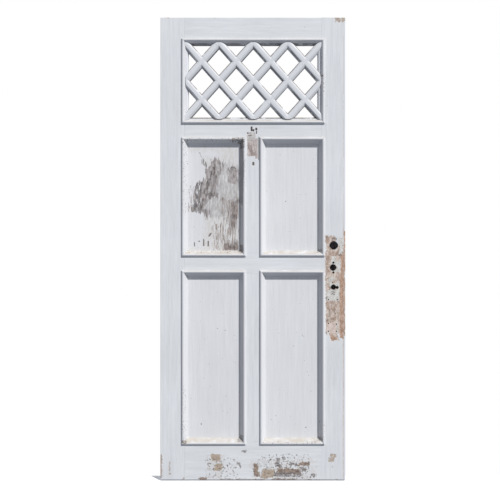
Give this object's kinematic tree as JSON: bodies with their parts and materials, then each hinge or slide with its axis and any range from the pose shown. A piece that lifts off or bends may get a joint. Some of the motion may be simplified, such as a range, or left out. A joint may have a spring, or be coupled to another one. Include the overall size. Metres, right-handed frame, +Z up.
{
  "type": "front door",
  "caption": "Weathered white painted wooden front door with framed flat panels, raised mouldings and a diagonal lattice in its upper light, lock bores empty.",
  "frame": {"origin": "centre of the floor of the middle hinge gain, on the hinge edge", "axes": "+X across the door towards the lock edge, +Z up, the outer face towards -Y"},
  "size_m": [0.813, 0.0521, 2.032],
  "materials": {
    "frame_paint": "old brushed white paint, worn through to bare wood round the lock and at the bottom",
    "panel_paint": "old brushed white paint, scraped on one panel",
    "moulding_paint": "old white paint, dusty on upward faces",
    "lattice_paint": "old white paint"
  },
  "bodies": {
    "root": {"hinge_stile": "frame_paint", "lock_stile": "frame_paint", "top_rail": "frame_paint", "frieze_rail": "frame_paint", "lock_rail": "frame_paint", "bottom_rail": "frame_paint", "upper_muntin": "frame_paint", "lower_muntin": "frame_paint", "upper_left_panel": "panel_paint", "upper_right_panel": "panel_paint", "lower_left_panel": "panel_paint", "lower_right_panel": "panel_paint", "upper_left_moulding_left": "moulding_paint", "upper_left_moulding_right": "moulding_paint", "upper_left_moulding_bottom": "moulding_paint", "upper_left_moulding_top": "moulding_paint", "upper_right_moulding_left": "moulding_paint", "upper_right_moulding_right": "moulding_paint", "upper_right_moulding_bottom": "moulding_paint", "upper_right_moulding_top": "moulding_paint", "lower_left_moulding_left": "moulding_paint", "lower_left_moulding_right": "moulding_paint", "lower_left_moulding_bottom": "moulding_paint", "lower_left_moulding_top": "moulding_paint", "lower_right_moulding_left": "moulding_paint", "lower_right_moulding_right": "moulding_paint", "lower_right_moulding_bottom": "moulding_paint", "lower_right_moulding_top": "moulding_paint", "light_moulding_left": "moulding_paint", "light_moulding_right": "moulding_paint", "light_moulding_bottom": "moulding_paint", "light_moulding_top": "moulding_paint", "lattice_border_left": "lattice_paint", "lattice_border_right": "lattice_paint", "lattice_border_bottom": "lattice_paint", "lattice_border_top": "lattice_paint", "rising_lath_1": "lattice_paint", "rising_lath_2": "lattice_paint", "rising_lath_3": "lattice_paint", "rising_lath_4": "lattice_paint", "rising_lath_5": "lattice_paint", "falling_lath_1": "lattice_paint", "falling_lath_2": "lattice_paint", "falling_lath_3": "lattice_paint", "falling_lath_4": "lattice_paint", "falling_lath_5": "lattice_paint"}
  },
  "joints": []
}
